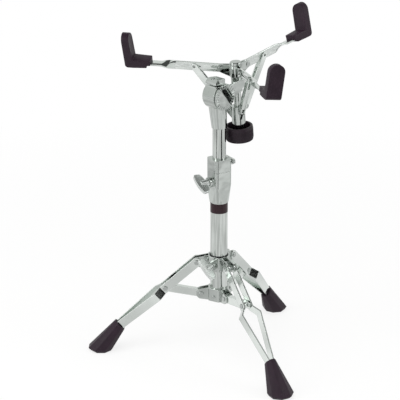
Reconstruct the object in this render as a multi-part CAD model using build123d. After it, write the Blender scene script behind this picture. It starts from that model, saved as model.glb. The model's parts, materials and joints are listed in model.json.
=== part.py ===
from build123d import *
import os
from math import atan2, cos, degrees, hypot, radians, sin, tan

# Snare drum stand: a folding tripod of twin-strip legs, a height-adjustable tube and a tilting
# three-arm basket. Millimetres, +Z up, origin on the floor below the axis of the base tube.

# --- Fits and clearances ---
RUNNING = 0.05  # radial clearance of a pin, shaft or tube that turns or slides
SIDE = 0.35  # gap beside a link between its two cheeks
PRESS_GAP = 0.3  # gap between a clamp screw's nose and what it bears on

# --- Tubes ---
BASE_OD = 28.6
BASE_WALL = 1.5
BASE_FOOT = 96.0
BASE_TOP = 294.0
UPPER_OD = 22.2
UPPER_WALL = 1.5
UPPER_FOOT = 165.0
BAND_FOOT = 250.5
BAND_HEIGHT = 16.5
BAND_THICK = 0.25

# --- Tripod: azimuths of the legs, and the joints of one leg as radius and height ---
LEG_AZIMUTH = {"left": 180.0, "rear": 60.0, "front": 300.0}
GAP_AZIMUTHS = (0.0, 120.0, 240.0)
HINGE_R = 36.8
HINGE_Z = 162.0
LEG_PITCH = 41.9
STRUT_PIVOT_X = 70.0  # along the leg from its hinge
FOOT_PIN_R = 28.7
FOOT_PIN_Z = 105.0

# --- Leg strips ---
STRIP_THICK = 2.3
STRIP_DEPTH = 15.0
STRIP_OFFSET = 7.2  # mid-plane of a strip beside the hinge
KNEE_START = 76.0
KNEE_X = 88.0
KNEE_OFFSET = 17.0
STRIP_END_X = 194.0
BOOT_OFFSET = 3.4  # mid-plane of a strip inside the boot
BOOT_TOP_X = 176.5
RIVET_R = 2.5
RIVET_HEAD_R = 4.2
RIVET_HEAD = 1.3

# --- Leg struts: folded channels ---
STRUT_DEPTH = 12.5
STRUT_WALL = 1.6
STRUT_PLAY = 1.2  # beside the strut, between the strips

# --- Boots ---
BOOT_LIP = 3.0  # mouth above the point where the strips meet
BOOT_TOP_DEPTH = 21.5
BOOT_TOP_WIDTH = 17.0
BOOT_TOP_CUT = 4.5
SOLE_HEEL_R = 182.0
SOLE_TOE_R = 214.5
SOLE_WIDTH = 34.0
SOLE_CUT = 10.0
WELT_HEIGHT = 5.0
WELT_HEEL_R = 178.8
WELT_TOE_R = 219.6
WELT_WIDTH = 40.0
WELT_CUT = 12.0
TOE_NOTCHES = 5
TOE_NOTCH_R = 1.3
TOE_PITCH = 4.2

# --- Pressed brackets round the base tube ---
HEX_ACROSS = 34.4
EAR_THICK = 1.8
LOWER_FOOT = 94.7
LOWER_HEIGHT = 21.8
LOWER_EAR_R = 8.6
COLLAR_FOOT = 149.0
COLLAR_HEIGHT = 25.0
COLLAR_EAR_R = 7.6
BUSH_WALL = 1.25
BUSH_PROUD = 1.0
EAR_RIVET_R = 22.6
EAR_RIVET_Z = 166.8
EAR_HEAD_R = 5.0
FLAT_RIVET_R = 1.6
FLAT_HEAD_R = 3.2
FLAT_HEAD = 1.2
FLAT_RIVET_RISE = 8.0  # above the lower bracket's foot

# --- Wing bolts ---
WING_SHANK_R = 3.9
WING_HUB_R = 6.6
WING_HUB = 14.0
WING_SPAN = 40.0
WING_THICK = 5.0
WING_DEPTH = 10.0
WING_REACH = 17.0  # from the hub's seat to the outer corners of the wings
WING_BOW = 3.0
WING_ROOT = 4.0
WING_CORNER = 3.0
COLLAR_WING_AZIMUTH = 240.0
COLLAR_WING_TURN = 42.0
COLLAR_WING_Z = 160.5
COLLAR_BOSS_REACH = 27.0
COLLAR_BOSS_WALL = 1.4
HEIGHT_WING_AZIMUTH = 212.0
HEIGHT_WING_TURN = 61.0
HEIGHT_WING_Z = 304.0
HEIGHT_BOSS_REACH = 21.5
HEIGHT_BOSS_WALL = 2.0

# --- Height clamp and memory collar ---
CLAMP_FOOT = 268.5
CLAMP_SHOULDER = 300.0
CLAMP_TOP = 322.0
CLAMP_FOOT_R = 15.8
CLAMP_SHOULDER_R = 20.0
BLOCK_ACROSS = 31.0
BLOCK_CORNER = 5.0
BLOCK_AZIMUTH = 212.0
CLAMP_BUSH_WALL = 1.4
MEMORY_GAP = 0.3
MEMORY_HEIGHT = 20.7
MEMORY_SLIT = 2.0
KEY_BOSS_R = 5.2
KEY_BOSS_OUT = 19.0
KEY_BOSS_HALF = 10.8
KEY_SHANK_R = 2.0
KEY_HEAD_R = 3.2
KEY_HEAD = 2.8
KEY_SQUARE = 4.4
KEY_RISE = 2.2
KEY_BOSS_DROP = 1.0
NOTCH_HALF = 5.5
NOTCH_DEPTH = 9.0

# --- Tilter on the upper tube ---
STEM_FOOT = 395.0
STEM_FOOT_R = 12.6
STEM_TOP_R = 14.9
SOCKET_DEPTH = 30.0
TILT_X = -3.2
TILT_Y = -8.0
TILT_RISE = 56.7  # tilt axis above the stem's foot
TILT_AZIMUTH = -46.0
TILT_ANGLE = 4.8
BARREL_R = 22.0
BARREL_HALF = 14.0
BARREL_CAP = 3.0
TILT_SHAFT_R = 12.0
LUG_HALF = 12.0
LUG_TOP = 29.0
LUG_FRONT = 15.0
LUG_BACK = 5.0
LUG_CORNER = 4.0  # cut off the back corner, where a folded basket strut passes
LUG_CORNER_RUN = 9.0
LUG_ROOT = 14.0
LUG_SCREW_R = 2.5
LUG_HEAD_R = 4.4
LUG_HEAD_DEPTH = 3.5
LUG_SOCKET = 4.0
SAW_CUT = 2.2
SAW_CUT_Z = 19.6
DISC_R = 20.5
DISC_THICK = 4.0
DISC_TEETH = 24
GROOVE_IN = 2.2  # middle of a groove, in from the rim
GROOVE_LENGTH = 6.5
GROOVE_WIDTH = 1.5
GROOVE_DEPTH = 1.2
PLATE_R = 15.5
PLATE_RUN = 12.0
PLATE_TOP = 2.5  # below the sleeve's top
PLATE_FOOT = 11.0  # above the sleeve's foot

# --- Basket post, in the tilted frame ---
POST_S = 4.3
POST_T = 39.6
HUB_H = 36.0
ROD_R = 6.35
ROD_BELOW = 125.0
SLEEVE_R = 9.0
SLEEVE_TOP = 14.0
SLEEVE_FOOT = 39.0
HUB_R = 10.5
HUB_BELOW = 13.6
HUB_ABOVE = 6.0
CAP_R = 9.6
CAP_HEIGHT = 5.0

# --- Basket arms, struts and slider ---
ARM_AZIMUTH = {"left": 214.4, "rear": 94.4, "front": -25.6}
ARM_PIN_R = 25.0
ARM_RISE = 3.2
ARM_THICK = 3.0
ARM_DEPTH = 14.0
ARM_STRUT_X = 43.0
TWIST_START = 73.0
TWIST_END = 97.0
TWIST_TURN = 79.5  # short of a quarter turn, so the tips roll a little
TWIST_STEPS = 6
ARM_REACH = 155.5
ARM_UPRIGHT = 44.0
UPRIGHT_LEAN = 5.0
SMALL_PIN_R = 2.2
SMALL_HEAD_R = 3.6
SMALL_HEAD = 1.2
CHEEK_THICK = 2.0
WEB_INSET = 0.8
ARM_STRUT_DEPTH = 10.0
SLIDER_PIN_R = 17.0
SLIDER_PIN_H = 70.0
SLIDER_TOP = 64.5
SLIDER_FOOT = 108.0
SLIDER_R = 11.2
TAB_THICK = 3.4
TAB_ROOT = 22.0
TAB_EAR_R = 4.6
KNOB_TOP = 98.5
KNOB_FOOT = 123.0
KNOB_R = 23.0
KNOB_WALL = 3.4
KNOB_FLOOR = 112.0
KNOB_EDGE = 1.6
KNOB_LIP = 1.0
INSERT_R = 11.5
INSERT_GAP = 0.3

# --- Rubber tips ---
TIP_WIDTH = 25.0
TIP_END_WIDTH = 20.0
TIP_THICK = 14.0
TIP_TOP_THICK = 12.5
TIP_HEIGHT = 56.5
TIP_BELOW = 4.5  # below the mid-plane of the arm's flat end
TIP_FOOT = 41.0
TIP_FOOT_THICK = 13.0
TIP_STEP = 4.0  # the foot's inner end is thinner below
TIP_STEP_RUN = 6.0
TIP_HEEL = 5.0

# --- Sizes that follow from the ones above ---
BASE_R = BASE_OD / 2
TILT_Z = STEM_FOOT + TILT_RISE
UPPER_R = UPPER_OD / 2
STRIP_INNER = STRIP_OFFSET - STRIP_THICK / 2
STRIP_OUTER = STRIP_OFFSET + STRIP_THICK / 2
LEG_UP = radians(LEG_PITCH)
STRUT_TOP_R = HINGE_R + STRUT_PIVOT_X * cos(LEG_UP)
STRUT_TOP_Z = HINGE_Z - STRUT_PIVOT_X * sin(LEG_UP)
STRUT_LENGTH = hypot(STRUT_TOP_R - FOOT_PIN_R, STRUT_TOP_Z - FOOT_PIN_Z)
STRUT_ANGLE = degrees(atan2(STRUT_TOP_Z - FOOT_PIN_Z, STRUT_TOP_R - FOOT_PIN_R))
STRUT_WIDTH = 2 * (STRIP_INNER - STRUT_PLAY)
LOWER_EAR_IN = STRUT_WIDTH / 2 + SIDE
COLLAR_EAR_OUT = STRIP_INNER - SIDE / 2
BUSH_IN = BASE_R + RUNNING
BUSH_OUT = BUSH_IN + BUSH_WALL
CLAMP_BUSH_IN = UPPER_R + RUNNING
CLAMP_BUSH_OUT = CLAMP_BUSH_IN + CLAMP_BUSH_WALL
MEMORY_FOOT = CLAMP_TOP + MEMORY_GAP
CHEEK_IN = TAB_THICK / 2 + SIDE
CHEEK_OUT = CHEEK_IN + CHEEK_THICK
ARM_STRUT_TOP_R = ARM_PIN_R + ARM_STRUT_X * cos(radians(ARM_RISE))
ARM_STRUT_TOP_H = ARM_STRUT_X * sin(radians(ARM_RISE))
ARM_STRUT_RUN = ARM_STRUT_TOP_R - SLIDER_PIN_R
ARM_STRUT_LENGTH = hypot(ARM_STRUT_RUN, SLIDER_PIN_H + ARM_STRUT_TOP_H)
ARM_STRUT_ANGLE = degrees(atan2(SLIDER_PIN_H + ARM_STRUT_TOP_H, ARM_STRUT_RUN))

# --- Frames ---
LEG = Location((HINGE_R, 0, HINGE_Z), (0, LEG_PITCH, 0))
STRUT = Location((FOOT_PIN_R, 0, FOOT_PIN_Z), (0, -STRUT_ANGLE, 0))
TILT = Location((TILT_X, TILT_Y, TILT_Z)) * Rot(0, 0, TILT_AZIMUTH) * Rot(TILT_ANGLE, 0, 0)
BASKET = TILT * Pos(POST_S, POST_T, HUB_H)
ARM = Location((ARM_PIN_R, 0, 0), (0, -ARM_RISE, 0))
ARM_STRUT = Location((SLIDER_PIN_R, 0, -SLIDER_PIN_H), (0, -ARM_STRUT_ANGLE, 0))


def turned(azimuth, shape):
    """The shape turned about the vertical axis."""
    return Rot(0, 0, azimuth) * shape


def tube(outer, inner, foot, height):
    """A round tube, or a rod where inner is 0, standing at the given height."""
    body = Cylinder(outer, height, align=(Align.CENTER, Align.CENTER, Align.MIN))
    if inner:
        body -= Cylinder(inner, height, align=(Align.CENTER, Align.CENTER, Align.MIN))
    return Pos(0, 0, foot) * body


def side_plate(face, thick, offset=0.0):
    """A plate with a face drawn in radius and height, its mid-plane at the given side offset."""
    plate = extrude(Plane.XZ * face, thick / 2, both=True)
    return Pos(0, offset, 0) * plate


def disc_at(x, z, radius):
    return Pos(x, z) * Circle(radius)


def link(start, start_r, end, end_r):
    """The outline of a link with round ends."""
    ends = disc_at(*start, start_r) + disc_at(*end, end_r)
    return make_hull(ends.edges())


def cross_bar(x, z, radius, length, offset=0.0):
    """A bar across the leg or arm, along its side axis."""
    return Pos(x, offset, z) * Rot(90, 0, 0) * Cylinder(radius, length)


def rivet(x, z, radius, half, head_r, head):
    """A rivet across two cheeks: a shank between two domed heads."""
    shank = cross_bar(x, z, radius, 2 * half)
    dome = Cylinder(head_r, head, align=(Align.CENTER, Align.CENTER, Align.MIN))
    dome = chamfer(dome.edges().group_by(Axis.Z)[-1], head * 0.45)
    for side in (-1, 1):
        shank += Pos(x, side * half, z) * Rot(-90 * side, 0, 0) * dome
    return shank


def half_rivet(x, z, side):
    """A leg's strut rivet on one strip: flush inside, headed outside."""
    shank = cross_bar(x, z, RIVET_R, STRIP_THICK, side * STRIP_OFFSET)
    dome = Cylinder(RIVET_HEAD_R, RIVET_HEAD, align=(Align.CENTER, Align.CENTER, Align.MIN))
    dome = chamfer(dome.edges().group_by(Axis.Z)[-1], RIVET_HEAD * 0.45)
    return shank + Pos(x, side * STRIP_OUTER, z) * Rot(-90 * side, 0, 0) * dome


# --- Base: tube, lower bracket, clamp ---


def base_tube():
    body = tube(BASE_R, BASE_R - BASE_WALL, BASE_FOOT, BASE_TOP - BASE_FOOT)
    for azimuth in GAP_AZIMUTHS:
        body -= bracket_rivet_hole(azimuth)
    return body


def hex_ring(bore, foot, height):
    """A pressed six-sided ring with one flat facing each leg and each gap."""
    blank = RegularPolygon(HEX_ACROSS / 2, 6, major_radius=False, rotation=30)
    blank = fillet(blank.vertices(), 4)
    ring = extrude(blank, height)
    ring -= Cylinder(bore, height, align=(Align.CENTER, Align.CENTER, Align.MIN))
    return Pos(0, 0, foot) * ring


def bracket_rivet(azimuth):
    """A small rivet that holds the lower bracket to the tube through one of its flats."""
    shank_in = BASE_R - BASE_WALL
    shank = tube(FLAT_RIVET_R, 0, shank_in, HEX_ACROSS / 2 - shank_in)
    head = tube(FLAT_HEAD_R, 0, HEX_ACROSS / 2, FLAT_HEAD)
    head = chamfer(head.edges().group_by(Axis.Z)[-1], FLAT_HEAD * 0.45)
    return turned(azimuth, Pos(0, 0, LOWER_FOOT + FLAT_RIVET_RISE) * Rot(0, 90, 0) * (shank + head))


def bracket_rivet_hole(azimuth):
    return radial_boss(azimuth, LOWER_FOOT + FLAT_RIVET_RISE, FLAT_RIVET_R, 0, HEX_ACROSS)


def lower_bracket():
    body = hex_ring(BASE_R, LOWER_FOOT, LOWER_HEIGHT)
    root = Pos(HEX_ACROSS / 2 - 1, LOWER_FOOT + LOWER_HEIGHT / 2) * Rectangle(1, LOWER_HEIGHT)
    outline = make_hull((root + disc_at(FOOT_PIN_R, FOOT_PIN_Z, LOWER_EAR_R)).edges())
    outline -= disc_at(FOOT_PIN_R, FOOT_PIN_Z, RIVET_R)
    for azimuth in LEG_AZIMUTH.values():
        for side in (-1, 1):
            offset = side * (LOWER_EAR_IN + EAR_THICK / 2)
            body += turned(azimuth, side_plate(outline, EAR_THICK, offset))
    for azimuth in GAP_AZIMUTHS:
        body -= bracket_rivet_hole(azimuth)
    return body


def strut_foot_pins():
    half = LOWER_EAR_IN + EAR_THICK
    pin = rivet(FOOT_PIN_R, FOOT_PIN_Z, RIVET_R, half, RIVET_HEAD_R, RIVET_HEAD)
    return Compound([turned(azimuth, pin) for azimuth in LEG_AZIMUTH.values()])


def bracket_rivets():
    return Compound([bracket_rivet(azimuth) for azimuth in GAP_AZIMUTHS])


def block_outline():
    """The squarish plan shared by the clamp and the memory collar."""
    return turned(BLOCK_AZIMUTH, RectangleRounded(BLOCK_ACROSS, BLOCK_ACROSS, BLOCK_CORNER))


def radial_boss(azimuth, z, radius, start, reach):
    bar = Cylinder(radius, reach - start, align=(Align.CENTER, Align.CENTER, Align.MIN))
    return turned(azimuth, Pos(start, 0, z) * Rot(0, 90, 0) * bar)


def clamp_casting():
    """The height clamp: a squarish block whose corners are turned down to the base tube."""
    rise = CLAMP_SHOULDER - CLAMP_FOOT
    low = (Align.CENTER, Align.CENTER, Align.MIN)
    turned_foot = Pos(0, 0, CLAMP_FOOT) * Cone(CLAMP_FOOT_R, CLAMP_SHOULDER_R, rise, align=low)
    turned_foot += tube(BLOCK_ACROSS, 0, CLAMP_SHOULDER, CLAMP_TOP - CLAMP_SHOULDER)
    body = extrude(Pos(0, 0, CLAMP_FOOT) * block_outline(), CLAMP_TOP - CLAMP_FOOT) & turned_foot
    body += radial_boss(HEIGHT_WING_AZIMUTH, HEIGHT_WING_Z, WING_HUB_R + HEIGHT_BOSS_WALL, 0, HEIGHT_BOSS_REACH)
    body -= tube(BASE_R, 0, CLAMP_FOOT - 1, BASE_TOP - CLAMP_FOOT + 1)
    body -= tube(CLAMP_BUSH_OUT, 0, BASE_TOP, CLAMP_TOP - BASE_TOP + 1)
    hole = WING_SHANK_R + RUNNING
    body -= radial_boss(HEIGHT_WING_AZIMUTH, HEIGHT_WING_Z, hole, 0, HEIGHT_BOSS_REACH + 1)
    return body


def clamp_bush():
    return tube(CLAMP_BUSH_OUT, CLAMP_BUSH_IN, BASE_TOP, CLAMP_TOP - BASE_TOP)


def label_band():
    return tube(BASE_R + BAND_THICK, BASE_R, BAND_FOOT, BAND_HEIGHT)


# --- Leg collar that slides on the base tube ---


def leg_collar():
    body = hex_ring(BUSH_OUT, COLLAR_FOOT, COLLAR_HEIGHT)
    root = Pos(HEX_ACROSS / 2 - 1, COLLAR_FOOT + COLLAR_HEIGHT / 2) * Rectangle(1, COLLAR_HEIGHT)
    outline = make_hull((root + disc_at(HINGE_R, HINGE_Z, COLLAR_EAR_R)).edges())
    outline -= disc_at(HINGE_R, HINGE_Z, RIVET_R)
    outline -= disc_at(EAR_RIVET_R, EAR_RIVET_Z, RIVET_R)
    for azimuth in LEG_AZIMUTH.values():
        for side in (-1, 1):
            offset = side * (COLLAR_EAR_OUT - EAR_THICK / 2)
            body += turned(azimuth, side_plate(outline, EAR_THICK, offset))
    boss_r = WING_HUB_R + COLLAR_BOSS_WALL
    body += radial_boss(COLLAR_WING_AZIMUTH, COLLAR_WING_Z, boss_r, BUSH_OUT, COLLAR_BOSS_REACH)
    hole = WING_SHANK_R + RUNNING
    body -= radial_boss(COLLAR_WING_AZIMUTH, COLLAR_WING_Z, hole, 0, COLLAR_BOSS_REACH + 1)
    body -= tube(BUSH_OUT, 0, COLLAR_FOOT - 1, COLLAR_HEIGHT + 2)
    return body


def collar_bush():
    return tube(BUSH_OUT, BUSH_IN, COLLAR_FOOT - BUSH_PROUD, COLLAR_HEIGHT + 2 * BUSH_PROUD)


def leg_hinge_pins():
    half = STRIP_OUTER + SIDE / 2
    pin = rivet(HINGE_R, HINGE_Z, RIVET_R, half, RIVET_HEAD_R, RIVET_HEAD)
    return Compound([turned(azimuth, pin) for azimuth in LEG_AZIMUTH.values()])


def collar_rivets():
    pin = rivet(EAR_RIVET_R, EAR_RIVET_Z, RIVET_R, COLLAR_EAR_OUT, EAR_HEAD_R, RIVET_HEAD)
    return Compound([turned(azimuth, pin) for azimuth in LEG_AZIMUTH.values()])


# --- Wing bolts ---


def wing_blade():
    """A crescent plate through the hub, bowed outward and deepest at the middle."""
    half = WING_SPAN / 2
    near = half - WING_CORNER / 2
    inner = WING_REACH - WING_DEPTH
    back = ThreePointArc((-half, WING_REACH), (0, WING_REACH + WING_BOW), (half, WING_REACH))
    right = Line((half, WING_REACH), (near, inner))
    front = ThreePointArc((near, inner), (0, inner - WING_ROOT), (-near, inner))
    left = Line((-near, inner), (-half, WING_REACH))
    wing = make_face([back, right, front, left])
    wing = fillet(wing.vertices(), WING_CORNER)
    return extrude(Plane.XZ * wing, WING_THICK / 2, both=True)


def wing_bolt(shank):
    """A wing bolt along +Z with its hub's seat at the origin and its shank below."""
    hub = Cone(WING_HUB_R, WING_HUB_R - 1.6, WING_HUB, align=(Align.CENTER, Align.CENTER, Align.MIN))
    hub = fillet(hub.edges().group_by(Axis.Z)[-1], 1.2)
    bolt = hub + wing_blade()
    bolt += Cylinder(WING_SHANK_R, shank, align=(Align.CENTER, Align.CENTER, Align.MAX))
    return bolt


def seated_wing(azimuth, z, reach, inner, turn):
    """A wing bolt screwed radially into a boss, its nose just short of what it presses."""
    seat = reach + PRESS_GAP
    bolt = wing_bolt(seat - inner - PRESS_GAP)
    return turned(azimuth, Pos(seat, 0, z) * Rot(0, 90, 0) * Rot(0, 0, turn) * bolt)


def collar_wing_bolt():
    return seated_wing(COLLAR_WING_AZIMUTH, COLLAR_WING_Z, COLLAR_BOSS_REACH, BUSH_OUT, COLLAR_WING_TURN)


def height_wing_bolt():
    inner = CLAMP_BUSH_OUT
    return seated_wing(HEIGHT_WING_AZIMUTH, HEIGHT_WING_Z, HEIGHT_BOSS_REACH, inner, HEIGHT_WING_TURN)


# --- Legs ---


def leg_strip(side):
    """One steel strip of a leg, bent outward at the knee and back in to the boot."""
    back = STRIP_DEPTH / 2
    path = Polyline(
        (-back, STRIP_OFFSET),
        (KNEE_START, STRIP_OFFSET),
        (KNEE_X, KNEE_OFFSET),
        (BOOT_TOP_X, BOOT_OFFSET),
        (STRIP_END_X, BOOT_OFFSET),
    )
    wall = offset_wall(path.vertices())
    strip = extrude(wall, back, both=True)
    rounded = make_hull((disc_at(0, 0, back) + disc_at(STRIP_END_X + back, 0, back)).edges())
    strip &= side_plate(rounded, 4 * KNEE_OFFSET)
    strip -= cross_bar(0, 0, RIVET_R + RUNNING, 4 * KNEE_OFFSET)
    strip -= cross_bar(STRUT_PIVOT_X, 0, RIVET_R, 4 * KNEE_OFFSET)
    if side < 0:
        strip = mirror(strip, Plane.XZ)
    return LEG * strip


def offset_wall(vertices):
    """The plan of a bent strip: its mid-line shifted half a thickness to either side."""
    points = [(v.X, v.Y) for v in vertices]
    points.sort()
    near = []
    far = []
    half = STRIP_THICK / 2
    for i, (x, y) in enumerate(points):
        before = points[max(i - 1, 0)]
        after = points[min(i + 1, len(points) - 1)]
        turn_in = atan2(y - before[1], x - before[0]) if i else None
        turn_out = atan2(after[1] - y, after[0] - x) if i < len(points) - 1 else None
        turn_in = turn_out if turn_in is None else turn_in
        turn_out = turn_in if turn_out is None else turn_out
        mid = (turn_in + turn_out) / 2
        reach = half / cos((turn_out - turn_in) / 2)
        near.append((x + reach * sin(mid), y - reach * cos(mid)))
        far.append((x - reach * sin(mid), y + reach * cos(mid)))
    return make_face(Polyline(*near, *reversed(far), close=True))


def leg_rivets():
    return Compound([LEG * half_rivet(STRUT_PIVOT_X, 0, side) for side in (-1, 1)])


def facet_outline(length, width, cut):
    """A rectangle with cut corners, the section of a boot."""
    blank = Rectangle(length, width)
    return chamfer(blank.vertices(), cut)


def boot():
    """A faceted rubber boot that flares from the strips to a flat sole with a notched toe."""
    mouth = LEG * Location((BOOT_TOP_X - BOOT_LIP, 0, 0), (0, 90, 0))
    top = mouth * facet_outline(BOOT_TOP_DEPTH, BOOT_TOP_WIDTH, BOOT_TOP_CUT)
    welt_mid = (WELT_HEEL_R + WELT_TOE_R) / 2
    sole_mid = (SOLE_HEEL_R + SOLE_TOE_R) / 2
    welt = Pos(welt_mid, 0, WELT_HEIGHT) * facet_outline(WELT_TOE_R - WELT_HEEL_R, WELT_WIDTH, WELT_CUT)
    sole = Pos(sole_mid, 0, 0) * facet_outline(SOLE_TOE_R - SOLE_HEEL_R, SOLE_WIDTH, SOLE_CUT)
    body = loft([top, welt], ruled=True) + loft([welt, sole], ruled=True)
    for i in range(TOE_NOTCHES):
        across = (i - (TOE_NOTCHES - 1) / 2) * TOE_PITCH
        notch = Cylinder(TOE_NOTCH_R, 4 * WELT_HEIGHT)
        body -= Pos(WELT_TOE_R + TOE_NOTCH_R * 0.3, across, 0) * notch
    return body


def leg_boot():
    return boot() - leg_strip(1) - leg_strip(-1)


def leg_strut():
    """A folded channel, open below, with round ends over its two pins."""
    end = STRUT_DEPTH / 2
    outline = link((0, 0), end, (STRUT_LENGTH, 0), end)
    body = side_plate(outline, STRUT_WIDTH)
    inner = STRUT_WIDTH - 2 * STRUT_WALL
    gap = Box(STRUT_LENGTH + 4 * end, inner, STRUT_DEPTH)
    body -= Pos(STRUT_LENGTH / 2, 0, -STRUT_WALL) * gap
    body -= Box(2.4 * end, inner, 2 * STRUT_DEPTH)
    body -= cross_bar(0, 0, RIVET_R + RUNNING, 2 * STRUT_WIDTH)
    body -= cross_bar(STRUT_LENGTH, 0, RIVET_R, 2 * STRUT_WIDTH)
    return STRUT * body


# --- Memory collar and upper tube ---


def memory_collar():
    """A split collar keyed on the clamp's outline, with a notch at its front corner."""
    body = extrude(Pos(0, 0, MEMORY_FOOT) * block_outline(), MEMORY_HEIGHT)
    boss_z = MEMORY_FOOT + MEMORY_HEIGHT - KEY_BOSS_R - KEY_BOSS_DROP
    across = Rot(90, 0, 0) * Cylinder(KEY_BOSS_R, 2 * KEY_BOSS_HALF)
    body += turned(BLOCK_AZIMUTH + 180, Pos(KEY_BOSS_OUT, 0, boss_z) * across)
    body -= tube(UPPER_R + RUNNING, 0, MEMORY_FOOT - 1, MEMORY_HEIGHT + 2)
    slit = Box(BLOCK_ACROSS, MEMORY_SLIT, 2 * MEMORY_HEIGHT)
    body -= turned(BLOCK_AZIMUTH + 180, Pos(BLOCK_ACROSS / 2 + UPPER_R / 2, 0, boss_z) * slit)
    bar = Rot(90, 0, 0) * Cylinder(KEY_SHANK_R + RUNNING, BLOCK_ACROSS)
    body -= turned(BLOCK_AZIMUTH + 180, Pos(KEY_BOSS_OUT, 0, boss_z) * bar)
    top = MEMORY_FOOT + MEMORY_HEIGHT
    corners = ((-NOTCH_HALF, top + 1), (NOTCH_HALF, top + 1), (0, top - NOTCH_DEPTH))
    notch = make_face(Polyline(*corners, close=True))
    wedge = extrude(Plane.XZ * notch, BLOCK_ACROSS)
    return body - turned(BLOCK_AZIMUTH + 135, turned(90, wedge))


def memory_key_screw():
    boss_z = MEMORY_FOOT + MEMORY_HEIGHT - KEY_BOSS_R - KEY_BOSS_DROP
    shank = Rot(90, 0, 0) * Cylinder(KEY_SHANK_R, 2 * KEY_BOSS_HALF)
    head = Pos(0, -KEY_BOSS_HALF - KEY_HEAD / 2, 0) * Rot(90, 0, 0) * Cylinder(KEY_HEAD_R, KEY_HEAD)
    square = Box(KEY_SQUARE, KEY_RISE, KEY_SQUARE, align=(Align.CENTER, Align.MAX, Align.CENTER))
    square = Pos(0, -KEY_BOSS_HALF - KEY_HEAD, 0) * square
    screw = Pos(KEY_BOSS_OUT, 0, boss_z) * (shank + head + square)
    return turned(BLOCK_AZIMUTH + 180, screw)


def upper_tube():
    return tube(UPPER_R, UPPER_R - UPPER_WALL, UPPER_FOOT, STEM_FOOT + SOCKET_DEPTH - UPPER_FOOT)


# --- Tilter ---


def barrel_bar(radius, start, end):
    """A bar along the tilt axis between two distances from the tilter's centre."""
    bar = Cylinder(radius, end - start, align=(Align.CENTER, Align.CENTER, Align.MIN))
    return Pos(start, 0, 0) * Rot(0, 90, 0) * bar


def tilter_body():
    """The casting on the upper tube: socket, tapered stem and split barrel with its lug."""
    place = Location((TILT_X, TILT_Y, TILT_Z), (0, 0, TILT_AZIMUTH))
    shoulder_z = TILT_Z - BARREL_R * 0.72
    stem = loft([
        Pos(0, 0, STEM_FOOT) * Circle(STEM_FOOT_R),
        Pos(TILT_X, TILT_Y * 0.8, shoulder_z) * Circle(STEM_TOP_R),
    ])
    shell = barrel_bar(BARREL_R, -BARREL_HALF, BARREL_HALF)
    cap_edge = shell.edges().group_by(Axis.X)[0]
    shell = fillet(cap_edge, BARREL_CAP)
    lug = make_face(Polyline(
        (-LUG_HALF, -LUG_FRONT),
        (LUG_HALF, -LUG_FRONT),
        (LUG_HALF, LUG_BACK),
        (LUG_CORNER - LUG_HALF, LUG_BACK),
        (-LUG_HALF, LUG_BACK - LUG_CORNER_RUN),
        close=True,
    ))
    lug = Pos(0, 0, LUG_ROOT) * extrude(lug, LUG_TOP - LUG_ROOT)
    front_edge = lug.edges().filter_by(Axis.X).group_by(Axis.Y)[0].group_by(Axis.Z)[-1]
    lug = chamfer(front_edge, 4)
    shell += lug
    shell -= barrel_bar(TILT_SHAFT_R + RUNNING, -BARREL_HALF + BARREL_CAP, BARREL_HALF + 1)
    across = LUG_FRONT + 8
    shell -= Pos(0, -across / 2, SAW_CUT_Z) * Box(3 * BARREL_HALF, across, SAW_CUT)
    drop = SAW_CUT_Z
    shell -= Pos(0, -SAW_CUT / 2, drop / 2) * Box(3 * BARREL_HALF, SAW_CUT, drop)
    shell -= Pos(0, -LUG_FRONT / 2, 0) * tube(LUG_SCREW_R + RUNNING, 0, LUG_ROOT, LUG_TOP)
    seat = LUG_TOP - LUG_HEAD_DEPTH
    shell -= Pos(0, -LUG_FRONT / 2, 0) * tube(LUG_HEAD_R + RUNNING, 0, seat, LUG_HEAD_DEPTH + 1)
    body = stem + place * shell
    body -= place * barrel_bar(TILT_SHAFT_R + RUNNING, -BARREL_HALF + BARREL_CAP, BARREL_HALF + 1)
    return body - tube(UPPER_R, 0, STEM_FOOT - 1, SOCKET_DEPTH + 1)


def tilt_clamp_screw():
    """The key screw that closes the barrel's saw cut."""
    place = Location((TILT_X, TILT_Y, TILT_Z), (0, 0, TILT_AZIMUTH))
    nose = LUG_ROOT + PRESS_GAP
    screw = tube(LUG_SCREW_R, 0, nose, LUG_TOP - LUG_HEAD_DEPTH - nose)
    head = tube(LUG_HEAD_R, 0, LUG_TOP - LUG_HEAD_DEPTH, LUG_HEAD_DEPTH - PRESS_GAP)
    head -= Pos(0, 0, LUG_TOP) * Box(LUG_SOCKET, LUG_SOCKET, LUG_SOCKET)
    return place * Pos(0, -LUG_FRONT / 2, 0) * (screw + head)


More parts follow.
